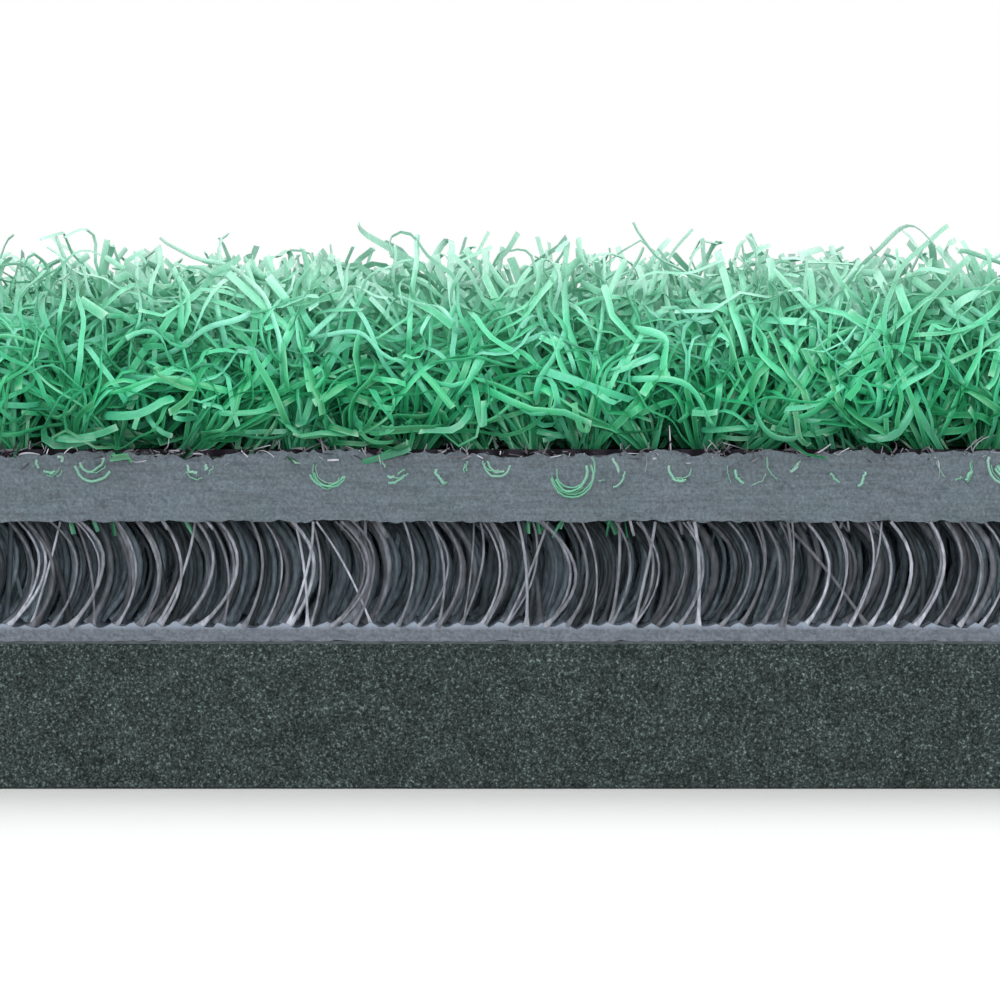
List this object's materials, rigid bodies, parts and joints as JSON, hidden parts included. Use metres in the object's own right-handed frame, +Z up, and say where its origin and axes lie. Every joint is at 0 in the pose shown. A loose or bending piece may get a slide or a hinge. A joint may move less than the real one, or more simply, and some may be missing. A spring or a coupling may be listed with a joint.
{
  "type": "golf hitting mat",
  "caption": "Golf hitting mat: dense tufted turf on a rubber slab, held up by a layer of bowed springy filaments on a foam base.",
  "frame": {"origin": "middle of the flat underside of the foam base", "axes": "+X along the mat's length, +Y across its width towards the far long edge, +Z up through the layers to the turf tips"},
  "size_m": [0.6, 0.3, 0.038],
  "materials": {
    "foam": "matt closed-cell foam, skived faces",
    "glue": "dull set adhesive",
    "carrier_sheet": "matt extruded sheet",
    "spring_filament": "satin nylon monofilament",
    "slab_rubber": "matt filled rubber, knife-cut edges",
    "backing_cloth": "plain-weave tape cloth",
    "stitch_yarn": "semi-gloss ribbon yarn",
    "turf_yarn": "semi-gloss ribbon yarn"
  },
  "bodies": {
    "base": {"foam_base": "foam", "glue_film": "glue", "filament_carrier_sheet": "carrier_sheet", "spring_filaments_01": "spring_filament", "spring_filaments_02": "spring_filament", "spring_filaments_03": "spring_filament", "spring_filaments_04": "spring_filament", "spring_filaments_05": "spring_filament", "spring_filaments_06": "spring_filament", "spring_filaments_07": "spring_filament", "spring_filaments_08": "spring_filament", "spring_filaments_09": "spring_filament", "spring_filaments_10": "spring_filament", "spring_filaments_11": "spring_filament", "spring_filaments_12": "spring_filament"},
    "deck": {"rubber_slab": "slab_rubber", "woven_backing_cloth": "backing_cloth", "backstitch_rows_01": "stitch_yarn", "backstitch_rows_02": "stitch_yarn", "backstitch_rows_03": "stitch_yarn", "backstitch_rows_04": "stitch_yarn", "backstitch_rows_05": "stitch_yarn", "backstitch_rows_06": "stitch_yarn", "backstitch_rows_07": "stitch_yarn", "backstitch_rows_08": "stitch_yarn", "backstitch_rows_09": "stitch_yarn", "backstitch_rows_10": "stitch_yarn", "backstitch_rows_11": "stitch_yarn", "backstitch_rows_12": "stitch_yarn", "turf_rows_01": "turf_yarn", "turf_rows_02": "turf_yarn", "turf_rows_03": "turf_yarn", "turf_rows_04": "turf_yarn", "turf_rows_05": "turf_yarn", "turf_rows_06": "turf_yarn", "turf_rows_07": "turf_yarn", "turf_rows_08": "turf_yarn", "turf_rows_09": "turf_yarn", "turf_rows_10": "turf_yarn", "turf_rows_11": "turf_yarn", "turf_rows_12": "turf_yarn"}
  },
  "joints": [
    {"name": "deck_press", "type": "slide", "parent": "base", "child": "deck", "axis": [0, 0, -1], "range_m": [0, 0.003], "stiffness_N_per_m": 60000, "springref_m": -0.0004, "deforming": ["spring_filaments_01", "spring_filaments_02", "spring_filaments_03", "spring_filaments_04", "spring_filaments_05", "spring_filaments_06", "spring_filaments_07", "spring_filaments_08", "spring_filaments_09", "spring_filaments_10", "spring_filaments_11", "spring_filaments_12"]}
  ]
}
